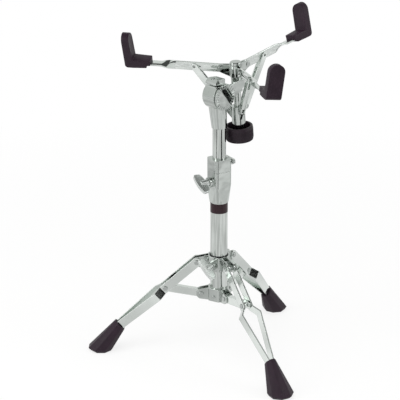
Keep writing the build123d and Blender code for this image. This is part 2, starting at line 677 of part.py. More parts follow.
def tilt_bracket():
    """The basket's half of the tilter: shaft, toothed disc and the sleeve that grips the post."""
    face = BARREL_HALF + SIDE
    body = barrel_bar(TILT_SHAFT_R, -BARREL_HALF + BARREL_CAP + SIDE, face)
    body += barrel_bar(DISC_R, face, face + DISC_THICK)
    sleeve_foot = HUB_H - SLEEVE_FOOT
    sleeve_height = SLEEVE_FOOT - SLEEVE_TOP
    body += Pos(POST_S, POST_T, 0) * tube(SLEEVE_R, 0, sleeve_foot, sleeve_height)
    plate_foot = sleeve_foot + PLATE_FOOT
    plate_top = sleeve_foot + sleeve_height - PLATE_TOP
    root = Rectangle(PLATE_RUN, plate_top - plate_foot)
    root = Pos(POST_T - 1, (plate_foot + plate_top) / 2) * root
    web = make_hull((disc_at(0, 0, PLATE_R) + root).edges())
    plate = extrude(Plane.YZ * web, DISC_THICK)
    body += Pos(face, 0, 0) * plate
    neck_end = face + DISC_THICK / 2
    neck = Box(neck_end - POST_S, PLATE_RUN - 2, plate_top - plate_foot)
    body += Pos((POST_S + neck_end) / 2, POST_T - 1, (plate_foot + plate_top) / 2) * neck
    for i in range(DISC_TEETH):
        groove = Box(GROOVE_DEPTH, GROOVE_WIDTH, GROOVE_LENGTH)
        groove = Pos(face + DISC_THICK, 0, DISC_R - GROOVE_IN) * groove
        body -= Rot(i * 360 / DISC_TEETH, 0, 0) * groove
    body -= Pos(POST_S, POST_T, 0) * tube(ROD_R, 0, sleeve_foot - 1, sleeve_height + 2)
    return TILT * body


# --- Basket post, hub, slider and knob ---


def basket_rod():
    return BASKET * tube(ROD_R, 0, -ROD_BELOW, ROD_BELOW + HUB_ABOVE)


def basket_hub():
    """The spider on top of the post, with a clevis for each arm."""
    body = tube(HUB_R, 0, -HUB_BELOW, HUB_BELOW + HUB_ABOVE)
    root = Pos(HUB_R - 2, (HUB_ABOVE - HUB_BELOW) / 2) * Rectangle(1, HUB_ABOVE + HUB_BELOW)
    outline = make_hull((root + disc_at(ARM_PIN_R, 0, HUB_ABOVE)).edges())
    outline -= disc_at(ARM_PIN_R, 0, SMALL_PIN_R)
    inner = ARM_THICK / 2 + SIDE
    for azimuth in ARM_AZIMUTH.values():
        for side in (-1, 1):
            body += turned(azimuth, side_plate(outline, CHEEK_THICK, side * (inner + CHEEK_THICK / 2)))
    return BASKET * (body - tube(ROD_R, 0, -HUB_BELOW - 1, HUB_BELOW + HUB_ABOVE + 2))


def hub_cap():
    cap = Cylinder(CAP_R, CAP_HEIGHT, align=(Align.CENTER, Align.CENTER, Align.MIN))
    cap = fillet(cap.edges().group_by(Axis.Z)[-1], 2.2)
    return BASKET * Pos(0, 0, HUB_ABOVE) * cap


def arm_pins():
    half = ARM_THICK / 2 + SIDE + CHEEK_THICK
    pin = rivet(ARM_PIN_R, 0, SMALL_PIN_R, half, SMALL_HEAD_R, SMALL_HEAD)
    return Compound([BASKET * turned(azimuth, pin) for azimuth in ARM_AZIMUTH.values()])


def basket_slider():
    """The sliding collar with a tab for each basket strut."""
    body = tube(SLIDER_R, 0, -SLIDER_FOOT, SLIDER_FOOT - SLIDER_TOP)
    top = -SLIDER_TOP - 1
    root = Pos(SLIDER_R - 2, top - TAB_ROOT / 2) * Rectangle(1, TAB_ROOT)
    outline = make_hull((root + disc_at(SLIDER_PIN_R, -SLIDER_PIN_H, TAB_EAR_R)).edges())
    outline -= disc_at(SLIDER_PIN_R, -SLIDER_PIN_H, SMALL_PIN_R)
    for azimuth in ARM_AZIMUTH.values():
        body += turned(azimuth, side_plate(outline, TAB_THICK))
    return BASKET * (body - tube(ROD_R + RUNNING, 0, -SLIDER_FOOT - 1, SLIDER_FOOT))


def slider_pins():
    pin = rivet(SLIDER_PIN_R, -SLIDER_PIN_H, SMALL_PIN_R, CHEEK_OUT + SIDE / 2, SMALL_HEAD_R, SMALL_HEAD)
    return Compound([BASKET * turned(azimuth, pin) for azimuth in ARM_AZIMUTH.values()])


def basket_knob():
    """The rubber cup that turns on the post's thread and lifts the slider."""
    inner = KNOB_R - KNOB_WALL
    half = make_face(Polyline(
        (INSERT_R, -KNOB_FOOT),
        (KNOB_R - KNOB_EDGE, -KNOB_FOOT),
        (KNOB_R, -KNOB_FOOT + KNOB_EDGE),
        (KNOB_R, -KNOB_TOP - KNOB_LIP),
        (KNOB_R - KNOB_LIP, -KNOB_TOP),
        (inner + KNOB_LIP / 2, -KNOB_TOP),
        (inner, -KNOB_TOP - KNOB_LIP),
        (inner, -KNOB_FLOOR),
        (INSERT_R, -KNOB_FLOOR),
        close=True,
    ))
    return BASKET * revolve(Plane.XZ * half, Axis.Z)


def knob_insert():
    top = SLIDER_FOOT + INSERT_GAP
    return BASKET * tube(INSERT_R, ROD_R + RUNNING, -KNOB_FOOT, KNOB_FOOT - top)


# --- Basket arms ---


def arm_section(x, turn):
    section = Rectangle(ARM_DEPTH, ARM_THICK)
    return Location((x, 0, 0), (0, 90, 0)) * Rot(0, 0, turn) * section


def arm_blank():
    """A steel strip on edge at the hub, twisted nearly flat towards its upturned end."""
    back = ARM_DEPTH / 2
    rounded = make_hull((disc_at(0, 0, back) + Pos(TWIST_START - 1, 0) * Rectangle(2, ARM_DEPTH)).edges())
    body = side_plate(rounded, ARM_THICK)
    run = (TWIST_END - TWIST_START) / TWIST_STEPS
    turn = TWIST_TURN / TWIST_STEPS
    for i in range(TWIST_STEPS):
        start = arm_section(TWIST_START + i * run, i * turn)
        end = arm_section(TWIST_START + (i + 1) * run, (i + 1) * turn)
        body += loft([start, end], ruled=True)
    end_x = ARM_REACH - TIP_THICK / 2 + ARM_THICK / 2
    flat = Box(end_x - TWIST_END, ARM_DEPTH, ARM_THICK, align=(Align.MIN, Align.CENTER, Align.CENTER))
    stand = Box(ARM_THICK, ARM_DEPTH, ARM_UPRIGHT, align=(Align.MAX, Align.CENTER, Align.MIN))
    tail = Pos(TWIST_END, 0, 0) * flat
    tail += Pos(end_x, 0, -ARM_THICK / 2) * Rot(0, UPRIGHT_LEAN, 0) * stand
    return body + rolled(tail)


def rolled(shape):
    """The shape turned about the arm by what its twist lacks of a quarter turn."""
    return Rot(TWIST_TURN - 90, 0, 0) * shape


def basket_arm(azimuth):
    body = arm_blank()
    body -= cross_bar(0, 0, SMALL_PIN_R + RUNNING, 2 * ARM_DEPTH)
    body -= cross_bar(ARM_STRUT_X, 0, SMALL_PIN_R, 2 * ARM_DEPTH)
    return BASKET * turned(azimuth, ARM * body)


def tip_blank():
    """An L-shaped rubber cap: a stepped foot round the arm's end and an upright with a round top."""
    lean = tan(radians(UPRIGHT_LEAN))
    top = TIP_HEIGHT - TIP_BELOW
    shelf = TIP_FOOT_THICK - TIP_BELOW
    side = make_face(Polyline(
        (-TIP_FOOT, TIP_STEP - TIP_BELOW),
        (-TIP_FOOT, shelf),
        (TIP_FOOT_THICK * lean - TIP_THICK, shelf),
        (TIP_HEIGHT * lean - TIP_TOP_THICK, top),
        (TIP_HEIGHT * lean, top),
        (0, -TIP_BELOW),
        (TIP_STEP_RUN - TIP_FOOT, -TIP_BELOW),
        (TIP_STEP_RUN - TIP_FOOT, TIP_STEP - TIP_BELOW),
        close=True,
    ))
    body = side_plate(side, TIP_WIDTH)
    half = TIP_WIDTH / 2
    face = Pos(0, (top - half - TIP_HEIGHT) / 2) * Rectangle(TIP_WIDTH, TIP_HEIGHT + top - half)
    face += Pos(0, top - half) * Circle(half)
    body &= extrude(Plane.YZ * face, TIP_HEIGHT, both=True)
    end = TIP_END_WIDTH / 2
    plan = make_face(Polyline(
        (-TIP_FOOT, end), (-TIP_THICK, half), (TIP_FOOT, half),
        (TIP_FOOT, -half), (-TIP_THICK, -half), (-TIP_FOOT, -end), close=True,
    ))
    body &= extrude(plan, TIP_HEIGHT, both=True)
    heel = body.edges().filter_by(Axis.Y).group_by(Axis.Z)[0].sort_by(Axis.X)[-1]
    return fillet(heel, TIP_HEEL)


def basket_tip(azimuth):
    tip = rolled(Pos(ARM_REACH, 0, 0) * tip_blank())
    return BASKET * turned(azimuth, ARM * (tip - arm_blank()))


def arm_rivet(azimuth):
    """The arm's rivet for its strut, flush with the arm so that the strut's cheeks pass it."""
    pin = cross_bar(ARM_STRUT_X, 0, SMALL_PIN_R, ARM_THICK)
    return BASKET * turned(azimuth, ARM * pin)


def basket_strut(azimuth):
    """A forked link: two cheeks over the slider's tab and the arm, joined by a web between."""
    end = ARM_STRUT_DEPTH / 2
    outline = link((0, 0), end, (ARM_STRUT_LENGTH, 0), end)
    outline -= disc_at(0, 0, SMALL_PIN_R + RUNNING)
    outline -= disc_at(ARM_STRUT_LENGTH, 0, SMALL_PIN_R + RUNNING)
    body = side_plate(outline, CHEEK_THICK, CHEEK_IN + CHEEK_THICK / 2)
    body += side_plate(outline, CHEEK_THICK, -CHEEK_IN - CHEEK_THICK / 2)
    web_start = 2.2 * end
    web = Box(ARM_STRUT_LENGTH - 3 * web_start, 2 * CHEEK_IN + CHEEK_THICK, CHEEK_THICK,
              align=(Align.MIN, Align.CENTER, Align.MIN))
    body += Pos(web_start, 0, WEB_INSET - end) * web
    return BASKET * turned(azimuth, ARM_STRUT * body)


def stand():
    parts = {
        "base_tube": base_tube(),
        "lower_bracket": lower_bracket(),
        "strut_foot_pins": strut_foot_pins(),
        "bracket_rivets": bracket_rivets(),
        "clamp_casting": clamp_casting(),
        "clamp_bush": clamp_bush(),
        "label_band": label_band(),
        "leg_collar": leg_collar(),
        "collar_bush": collar_bush(),
        "leg_hinge_pins": leg_hinge_pins(),
        "collar_rivets": collar_rivets(),
        "collar_wing_bolt": collar_wing_bolt(),
        "memory_collar": memory_collar(),
        "memory_key_screw": memory_key_screw(),
        "height_wing_bolt": height_wing_bolt(),
        "upper_tube": upper_tube(),
        "tilter_body": tilter_body(),
        "tilt_clamp_screw": tilt_clamp_screw(),
        "tilt_bracket": tilt_bracket(),
        "basket_rod": basket_rod(),
        "basket_hub": basket_hub(),
        "hub_cap": hub_cap(),
        "arm_pins": arm_pins(),
        "basket_slider": basket_slider(),
        "slider_pins": slider_pins(),
        "basket_knob": basket_knob(),
        "knob_insert": knob_insert(),
    }
    strips = (leg_strip(1), leg_strip(-1))
    rivets = leg_rivets()
    rubber = leg_boot()
    strut = leg_strut()
    for name, azimuth in LEG_AZIMUTH.items():
        parts[name + "_leg_strip_1"] = turned(azimuth, strips[0])
        parts[name + "_leg_strip_2"] = turned(azimuth, strips[1])
        parts[name + "_leg_rivets"] = turned(azimuth, rivets)
        parts[name + "_leg_boot"] = turned(azimuth, rubber)
        parts[name + "_leg_strut"] = turned(azimuth, strut)
    for name, azimuth in ARM_AZIMUTH.items():
        parts[name + "_basket_arm"] = basket_arm(azimuth)
        parts[name + "_basket_tip"] = basket_tip(azimuth)
        parts[name + "_arm_rivet"] = arm_rivet(azimuth)
        parts[name + "_basket_strut"] = basket_strut(azimuth)
    return parts


os.makedirs("parts", exist_ok=True)
for node, shape in stand().items():
    export_step(shape, "parts/" + node + ".step")
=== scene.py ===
import json
from math import atan2, cos, degrees, pi, radians, sin, tan

import bmesh
import bpy
from mathutils import Matrix, Vector


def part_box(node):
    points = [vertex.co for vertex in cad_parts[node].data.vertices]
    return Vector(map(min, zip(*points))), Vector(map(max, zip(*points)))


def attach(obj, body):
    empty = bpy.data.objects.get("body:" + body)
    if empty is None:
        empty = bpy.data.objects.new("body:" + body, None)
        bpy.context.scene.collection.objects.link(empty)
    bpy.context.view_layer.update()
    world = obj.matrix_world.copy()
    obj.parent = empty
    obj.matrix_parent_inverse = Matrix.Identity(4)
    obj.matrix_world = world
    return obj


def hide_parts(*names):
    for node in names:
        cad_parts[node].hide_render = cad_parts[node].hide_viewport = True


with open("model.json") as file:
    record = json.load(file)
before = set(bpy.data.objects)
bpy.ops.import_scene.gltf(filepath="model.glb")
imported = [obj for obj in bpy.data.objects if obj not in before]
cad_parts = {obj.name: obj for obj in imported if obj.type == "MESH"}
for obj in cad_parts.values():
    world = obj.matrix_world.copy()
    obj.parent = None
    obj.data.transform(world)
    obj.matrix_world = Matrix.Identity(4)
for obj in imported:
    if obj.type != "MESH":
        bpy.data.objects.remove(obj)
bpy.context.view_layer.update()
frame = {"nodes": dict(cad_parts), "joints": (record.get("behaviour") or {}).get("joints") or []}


# --- Base tube, upper tube and basket post ---
# Drawn steel tubes and a solid steel post, polished and then plated with nickel and bright chrome.
# The polish leaves very fine lines along them, and the plate over it is faintly wavy.

MM = 0.001
nodes = frame["nodes"]


def linear(hex_colour):
    """An sRGB hex colour as the linear RGBA that Blender's sockets take."""
    value = hex_colour.lstrip("#")
    channels = [int(value[i:i + 2], 16) / 255 for i in (0, 2, 4)]
    return [c / 12.92 if c <= 0.04045 else ((c + 0.055) / 1.055) ** 2.4 for c in channels] + [1.0]


def add_node(tree, kind, settings=None, values=None, links=None):
    """Adds one node, with its settings, its socket values and what is linked into its sockets."""
    node = tree.nodes.new(kind)
    for name, value in (settings or {}).items():
        setattr(node, name, value)
    for name, value in (values or {}).items():
        node.inputs[name].default_value = value
    for name, socket in (links or {}).items():
        tree.links.new(socket, node.inputs[name])
    return node


def new_material(name):
    """An empty material and its node tree."""
    material = bpy.data.materials.new(name)
    material.use_nodes = True
    material.node_tree.nodes.clear()
    return material, material.node_tree


# The real polishing lines are under 0.1 mm apart. They are drawn at 1.2 mm before the grain
# stretches them, which is 0.3 mm on the tubes, and broken edges are shaded wider than real,
# as finer ones don't show.
LINE_SIZE = 1.2 * MM
LINE_SHARE = 0.35
CLOUD_SIZE = 18 * MM
BROKEN_EDGE = 1.1 * MM


def chrome_plate(name, hex_colour, smooth, rough, wave_mm, wave_depth, grain):
    """Plated metal: a mirror with cloudy polish, faint waves and the grain of the metal below."""
    material, tree = new_material(name)
    place = add_node(tree, "ShaderNodeTexCoord")
    stretch = add_node(tree, "ShaderNodeMapping", values={"Scale": grain},
                       links={"Vector": place.outputs["Object"]})
    cloud = add_node(tree, "ShaderNodeTexNoise", values={"Scale": 1 / CLOUD_SIZE, "Detail": 4.0},
                     links={"Vector": place.outputs["Object"]})
    lines = add_node(tree, "ShaderNodeTexNoise", values={"Scale": 1 / LINE_SIZE, "Detail": 3.0},
                     links={"Vector": stretch.outputs["Vector"]})
    mixed = add_node(tree, "ShaderNodeMath", {"operation": "MULTIPLY_ADD"}, {1: LINE_SHARE},
                     {0: lines.outputs["Fac"], 2: cloud.outputs["Fac"]})
    polish = add_node(tree, "ShaderNodeMapRange", values={"From Min": 0.45, "From Max": 0.95,
                      "To Min": smooth, "To Max": rough}, links={"Value": mixed.outputs["Value"]})
    wave = add_node(tree, "ShaderNodeTexNoise", values={"Scale": 1 / (wave_mm * MM), "Detail": 0.4},
                    links={"Vector": place.outputs["Object"]})
    edge = add_node(tree, "ShaderNodeBevel", {"samples": 6}, {"Radius": BROKEN_EDGE})
    relief = add_node(tree, "ShaderNodeBump", values={"Strength": 0.5, "Distance": wave_depth * MM},
                      links={"Height": wave.outputs["Fac"], "Normal": edge.outputs["Normal"]})
    tone = add_node(tree, "ShaderNodeMix", {"data_type": "RGBA"}, {"A": linear(hex_colour[0]),
                    "B": linear(hex_colour[1])}, {"Factor": cloud.outputs["Fac"]})
    shader = add_node(tree, "ShaderNodeBsdfPrincipled", values={"Metallic": 1.0},
                      links={"Base Color": tone.outputs["Result"], "Normal": relief.outputs["Normal"],
                             "Roughness": polish.outputs["Result"]})
    add_node(tree, "ShaderNodeOutputMaterial", links={"Surface": shader.outputs["BSDF"]})
    return material


def dress(names, material):
    """Gives CAD nodes their material."""
    for name in names:
        nodes[name].data.materials.clear()
        nodes[name].data.materials.append(material)


tube_chrome = chrome_plate("chrome_on_drawn_steel_tube", ("#CFD3D0", "#C2C7C3"), 0.03, 0.08,
                           24, 0.10, (4, 4, 0.05))
dress(["base_tube", "upper_tube", "basket_rod"], tube_chrome)


# --- Leg strips, leg struts and basket struts ---
# Rolled steel strip, pressed and bent cold and plated after forming.
# Its faces are flatter and a little duller than the tubes.

SIDES = ("left", "rear", "front")
EVEN = (1, 1, 1)  # a grain that runs no way in particular

strip_chrome = chrome_plate("chrome_on_rolled_steel_strip", ("#E6EAE7", "#D5DBD7"), 0.05, 0.14,
                            14, 0.08, EVEN)
dress([side + piece for side in SIDES for piece in
       ("_leg_strip_1", "_leg_strip_2", "_leg_strut", "_basket_strut")], strip_chrome)


# --- Collars, clamps, hub, slider and tilter ---
# Die castings and pressed brackets under the same plate. Castings are never quite flat,
# so reflections bend and soften in them.

cast_chrome = chrome_plate("chrome_on_die_casting", ("#CACECB", "#B5BBB7"), 0.03, 0.09,
                           12, 0.45, EVEN)
dress(["lower_bracket", "leg_collar", "clamp_casting", "memory_collar", "tilter_body", "tilt_bracket",
       "basket_hub", "hub_cap", "basket_slider"], cast_chrome)


# --- Rivets, pins and key screws ---
# Headed steel pins, peened over and bright plated. The hammered heads are the dullest metal here.

rivet_steel = chrome_plate("nickel_plated_rivet_steel", ("#C4C8C6", "#A9AEAB"), 0.16, 0.34,
                           2.5, 0.05, EVEN)
dress(["strut_foot_pins", "bracket_rivets", "leg_hinge_pins", "collar_rivets", "memory_key_screw",
       "tilt_clamp_screw", "arm_pins", "slider_pins"]
      + [side + piece for side in SIDES for piece in ("_leg_rivets", "_arm_rivet")], rivet_steel)


# --- Leg boots ---
# Black rubber boots pushed over the ends of the leg strips: eight-sided, flaring to a welt and
# a flat sole, with a row of grooves across the toe. They are moulded in a spark-eroded tool, so
# they are matt with a fine even grain, and grey a little with handling.

BLOOM_SIZE = 16 * MM


def moulded_rubber(name, hex_colour, smooth, rough, grain_mm, depth):
    """Matt moulded rubber with a fine grain and uneven bloom."""
    material, tree = new_material(name)
    place = add_node(tree, "ShaderNodeTexCoord")
    bloom = add_node(tree, "ShaderNodeTexNoise", values={"Scale": 1 / BLOOM_SIZE, "Detail": 5.0,
                     "Roughness": 0.6}, links={"Vector": place.outputs["Object"]})
    grain = add_node(tree, "ShaderNodeTexNoise", values={"Scale": 1 / (grain_mm * MM), "Detail": 2.0},
                     links={"Vector": place.outputs["Object"]})
    spread = add_node(tree, "ShaderNodeMapRange", values={"From Min": 0.3, "From Max": 0.7},
                      links={"Value": bloom.outputs["Fac"]})
    tone = add_node(tree, "ShaderNodeMix", {"data_type": "RGBA"}, {"A": linear(hex_colour[0]),
                    "B": linear(hex_colour[1])}, {"Factor": spread.outputs["Result"]})
    gloss = add_node(tree, "ShaderNodeMapRange", values={"To Min": smooth, "To Max": rough},
                     links={"Value": spread.outputs["Result"]})
    relief = add_node(tree, "ShaderNodeBump", values={"Strength": 0.6, "Distance": depth * MM},
                      links={"Height": grain.outputs["Fac"]})
    shader = add_node(tree, "ShaderNodeBsdfPrincipled",
                      values={"IOR": 1.5, "Specular IOR Level": 0.3},
                      links={"Base Color": tone.outputs["Result"], "Normal": relief.outputs["Normal"],
                             "Roughness": gloss.outputs["Result"]})
    add_node(tree, "ShaderNodeOutputMaterial", links={"Surface": shader.outputs["BSDF"]})
    return material


# The real grain is about 0.1 mm. It is drawn at 0.7 mm, which is as fine as shows at this size.
boot_rubber = moulded_rubber("moulded_black_rubber", ("#21131F", "#2B1B28"), 0.44, 0.58, 0.7, 0.12)

joints = {joint["name"]: joint for joint in frame["joints"]}


def new_primitive(operator, name, place, stretch, **settings):
    """A primitive at its place, stretched to its size along the three axes, in edit mode."""
    bpy.ops.object.select_all(action="DESELECT")
    operator(location=(0, 0, 0), **settings)
    piece = bpy.context.object
    piece.name = name
    piece.data.transform(Matrix.Translation(place) @ Matrix.Diagonal((*stretch, 1)))
    bpy.ops.object.mode_set(mode="EDIT")
    return piece


def pick(kind, test):
    """Selects only the faces, edges or points that pass a test, and gives their middle."""
    bpy.ops.mesh.select_mode(type=kind)
    bpy.ops.mesh.select_all(action="DESELECT")
    form = bmesh.from_edit_mesh(bpy.context.object.data)
    form.normal_update()
    middle = Vector((0, 0, 0))
    count = 0
    for item in {"VERT": form.verts, "EDGE": form.edges, "FACE": form.faces}[kind]:
        if test(item):
            item.select_set(True)
            middle += centre(item)
            count += 1
    form.select_flush_mode()
    bmesh.update_edit_mesh(bpy.context.object.data)
    if not count:
        raise ValueError("nothing picked on " + bpy.context.object.name)
    return middle / count


def centre(item):
    """The middle of a face or an edge, or a point's place."""
    if isinstance(item, bmesh.types.BMFace):
        return item.calc_center_median()
    if isinstance(item, bmesh.types.BMEdge):
        return (item.verts[0].co + item.verts[1].co) / 2
    return item.co


def along(edge, axis):
    """Whether an edge runs along an axis, given as 0, 1 or 2."""
    run = (edge.verts[1].co - edge.verts[0].co).normalized()
    return abs(run[axis]) > 0.95


def cut_round(piece, place, radius, depth, turn, sides=24):
    """Cuts a round hole or groove in a piece, in object mode."""
    bpy.ops.object.select_all(action="DESELECT")
    bpy.ops.mesh.primitive_cylinder_add(vertices=sides, radius=radius, depth=depth,
                                        location=place, rotation=turn)
    cutter = bpy.context.object
    bpy.context.view_layer.objects.active = piece
    cut = piece.modifiers.new("cut", "BOOLEAN")
    cut.operation = "DIFFERENCE"
    cut.object = cutter
    bpy.ops.object.modifier_apply(modifier=cut.name)
    bpy.data.objects.remove(cutter)
    piece.select_set(True)
    bpy.context.view_layer.objects.active = piece


def round_edges(piece, width, segments, angle=32):
    """Leaves edit mode and rounds every edge sharper than an angle."""
    bpy.ops.object.mode_set(mode="OBJECT")
    rounding = piece.modifiers.new("round", "BEVEL")
    rounding.width = width
    rounding.segments = segments
    rounding.limit_method = "ANGLE"
    rounding.angle_limit = radians(angle)
    bpy.ops.object.modifier_apply(modifier=rounding.name)
    bpy.ops.object.shade_smooth_by_angle(angle=radians(40))


def settle(piece, name, place, material, body, node):
    """Copies a piece to its place, dresses it, and lets it ride on its body for its CAD node."""
    copy = bpy.data.objects.new(name, piece.data.copy())
    bpy.context.scene.collection.objects.link(copy)
    copy.data.transform(place)
    copy.data.materials.clear()
    copy.data.materials.append(material)
    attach(copy, body)
    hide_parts(node)


WELT_HEEL, WELT_TOE = 178.8 * MM, 219.6 * MM  # from the stand's axis
WELT_WIDTH = 40.0 * MM
WELT_CORNER = 12.0 * MM
WELT_HEIGHT = 5.0 * MM
SOLE_HEEL, SOLE_TOE = 182.0 * MM, 214.5 * MM
SOLE_WIDTH = 34.0 * MM
MOUTH_DEPTH, MOUTH_WIDTH = 21.5 * MM, 17.0 * MM
MOUTH_DOWN_LEG = 173.5 * MM  # from the leg's hinge
LEG_PITCH = radians(41.9)
LIP = 2.0 * MM
TOE_GROOVES, GROOVE_PITCH, GROOVE_RADIUS = 5, 4.2 * MM, 1.3 * MM
GROOVE_OUTSIDE = 0.3  # of its radius, from the toe to the groove's middle
BOOT_EDGE = 0.7 * MM
FACING = 0.9  # how much of a normal lies along an axis when its face counts as facing that way

hinge = Vector(joints["leg_hinge_left"]["pos_m"])
hinge_out = Vector((hinge.x, hinge.y)).length
welt_middle = (WELT_HEEL + WELT_TOE) / 2
welt_length = WELT_TOE - WELT_HEEL
boot = new_primitive(bpy.ops.mesh.primitive_cube_add, "boot", (welt_middle, 0, WELT_HEIGHT / 2),
                     (welt_length, WELT_WIDTH, WELT_HEIGHT), size=1)
pick("EDGE", lambda edge: along(edge, 2))
bpy.ops.mesh.bevel(offset=WELT_CORNER, segments=1, affect="EDGES")
sole = pick("FACE", lambda face: face.normal.z < -FACING)
bpy.ops.transform.resize(value=((SOLE_TOE - SOLE_HEEL) / welt_length, SOLE_WIDTH / WELT_WIDTH, 1),
                         center_override=sole)
bpy.ops.transform.translate(value=((SOLE_HEEL + SOLE_TOE) / 2 - welt_middle, 0, 0))
top = pick("FACE", lambda face: face.normal.z > FACING)
bpy.ops.mesh.extrude_region_move(TRANSFORM_OT_translate={"value": (0, 0, 0)})
bpy.ops.transform.resize(value=(MOUTH_DEPTH / welt_length, MOUTH_WIDTH / WELT_WIDTH, 1),
                         center_override=top)
bpy.ops.transform.rotate(value=pi / 2 - LEG_PITCH, orient_axis="Y", center_override=top)
mouth = Vector((hinge_out + MOUTH_DOWN_LEG * cos(LEG_PITCH), 0,
                hinge.z - MOUTH_DOWN_LEG * sin(LEG_PITCH)))
bpy.ops.transform.translate(value=mouth - top)
bpy.ops.mesh.inset(thickness=LIP)
inward = Vector((cos(LEG_PITCH), 0, -sin(LEG_PITCH)))
bpy.ops.mesh.extrude_region_move(TRANSFORM_OT_translate={"value": inward * LIP})
bpy.ops.mesh.select_all(action="SELECT")
bpy.ops.mesh.normals_make_consistent(inside=False)
bpy.ops.object.mode_set(mode="OBJECT")
for number in range(TOE_GROOVES):
    across = (number - (TOE_GROOVES - 1) / 2) * GROOVE_PITCH
    cut_round(boot, (WELT_TOE + GROOVE_OUTSIDE * GROOVE_RADIUS, across, 0), GROOVE_RADIUS, 6 * WELT_HEIGHT,
              (0, 0, 0), 16)
round_edges(boot, BOOT_EDGE, 3)
for side in SIDES:
    out = Vector(joints["leg_hinge_" + side]["pos_m"])
    turn = Matrix.Rotation(atan2(out.y, out.x), 4, "Z")
    settle(boot, side + "_boot_moulding", turn, boot_rubber, "leg_" + side,
           side + "_leg_boot")
bpy.data.objects.remove(boot)


# --- Basket knob ---
# A deep rubber cup moulded round a brass nut. Its rim is thick and plain, and fine upright
# ribs below it give the fingers a hold.

# Its grain, too, is drawn coarser than the real one, at 0.6 mm.
knob_rubber = moulded_rubber("moulded_black_knob_rubber", ("#1D121B", "#271A24"), 0.36, 0.50,
                             0.6, 0.08)

KNOB_RADIUS = 23.0 * MM
KNOB_HEIGHT = 24.5 * MM
KNOB_WALL = 3.4 * MM
CUP_DEPTH = 13.5 * MM
NUT_RADIUS = 11.5 * MM
KNOB_SIDES = 120
RIM_SHARE, FOOT_SHARE = 0.965, 0.955  # of the widest radius
RIM_EDGE = 1.0 * MM
RIB_DEPTH = 0.45 * MM
BELTS = (0.30, -0.02, -0.30)  # rings of points round it: shares of the height from the middle
RIB_TOP, RIB_FOOT = 0.28, -0.44  # of the height
RIB_INSIDE = 0.93  # of the widest radius
SAME = 0.01 * MM

post_axis = Vector(joints["slider_slide"]["axis"]).normalized()
knob = new_primitive(bpy.ops.mesh.primitive_cylinder_add, "knob", (0, 0, 0), (1, 1, 1),
                     vertices=KNOB_SIDES, radius=KNOB_RADIUS, depth=KNOB_HEIGHT)
for level in BELTS:
    bpy.ops.mesh.select_all(action="SELECT")
    bpy.ops.mesh.bisect(plane_co=(0, 0, level * KNOB_HEIGHT), plane_no=(0, 0, 1))
top = pick("FACE", lambda face: face.normal.z > FACING)
bpy.ops.transform.resize(value=(RIM_SHARE, RIM_SHARE, 1), center_override=top)
bpy.ops.mesh.inset(thickness=KNOB_WALL)
bpy.ops.mesh.extrude_region_move(TRANSFORM_OT_translate={"value": (0, 0, -CUP_DEPTH)})
bpy.ops.mesh.inset(thickness=RIM_SHARE * KNOB_RADIUS - KNOB_WALL - NUT_RADIUS)
foot = pick("FACE", lambda face: face.normal.z < -FACING)
bpy.ops.transform.resize(value=(FOOT_SHARE, FOOT_SHARE, 1), center_override=foot)
bpy.ops.mesh.inset(thickness=FOOT_SHARE * KNOB_RADIUS - NUT_RADIUS)
pick("FACE", lambda face: abs(face.normal.z) > FACING and len(face.verts) > 4)
bpy.ops.mesh.bridge_edge_loops()


def on_rim(edge):
    """Whether an edge lies on the knob's outer or inner rim, or round its foot."""
    ends = [point.co for point in edge.verts]
    level = abs(abs(ends[0].z) - KNOB_HEIGHT / 2) < SAME and abs(ends[0].z - ends[1].z) < SAME
    radii = [end.xy.length for end in ends]
    return level and abs(radii[0] - radii[1]) < SAME and radii[0] > 1.2 * NUT_RADIUS


pick("EDGE", on_rim)
bpy.ops.mesh.bevel(offset=RIM_EDGE, segments=3, affect="EDGES")


def on_ribs(face):
    """Whether a side face is one of every second below the rim."""
    middle = face.calc_center_median()
    number = int(round(degrees(atan2(middle.y, middle.x)) * KNOB_SIDES / 360 - 0.5))
    ribbed = RIB_FOOT * KNOB_HEIGHT < middle.z < RIB_TOP * KNOB_HEIGHT
    outside = middle.xy.length > RIB_INSIDE * KNOB_RADIUS and abs(face.normal.z) < 0.5
    return ribbed and outside and number % 2 == 0


pick("FACE", on_ribs)
bpy.ops.mesh.extrude_region_shrink_fatten(TRANSFORM_OT_shrink_fatten={"value": -RIB_DEPTH})
bpy.ops.object.mode_set(mode="OBJECT")
bpy.ops.object.shade_smooth_by_angle(angle=radians(30))
low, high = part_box("basket_knob")
upright = Vector((0, 0, 1)).rotation_difference(post_axis).to_matrix().to_4x4()
knob_place = Matrix.Translation((Vector(low) + Vector(high)) / 2) @ upright
settle(knob, "knob_moulding", knob_place, knob_rubber, "knob", "basket_knob")
bpy.data.objects.remove(knob)


# --- Basket arms ---
# Steel strip with a round end at the hub. Beyond the strut's rivet the strip is twisted cold by
# almost a quarter turn, so that it lies flat under the drum, and is plated after that.

ARM_THICK, ARM_DEPTH = 3.0 * MM, 14.0 * MM
ARM_REACH = 155.5 * MM
ARM_END = 150.0 * MM
ARM_RISE = radians(3.2)
ARM_TWIST = radians(79.5)
TWIST_FROM, TWIST_TO, TWIST_STEPS = 73.0 * MM, 97.0 * MM, 20
ARM_RIVET_X, ARM_PIN_RADIUS = 43.0 * MM, 2.2 * MM
ARM_EDGE = 0.35 * MM
HALF_ROUND = 0.49  # of a width, just short of the half where the two bevels would meet
NEAR = 0.1 * MM


def arm_frame(side):
    """The frame of one arm: X along it from its hinge, Z up out of the basket."""
    hinge_axis = Vector(joints["arm_hinge_" + side]["axis"]).normalized()
    out = post_axis.cross(hinge_axis)
    flat = Matrix((out, -hinge_axis, post_axis)).transposed().to_4x4()
    place = Matrix.Translation(joints["arm_hinge_" + side]["pos_m"])
    return place @ flat @ Matrix.Rotation(-ARM_RISE, 4, "Y")


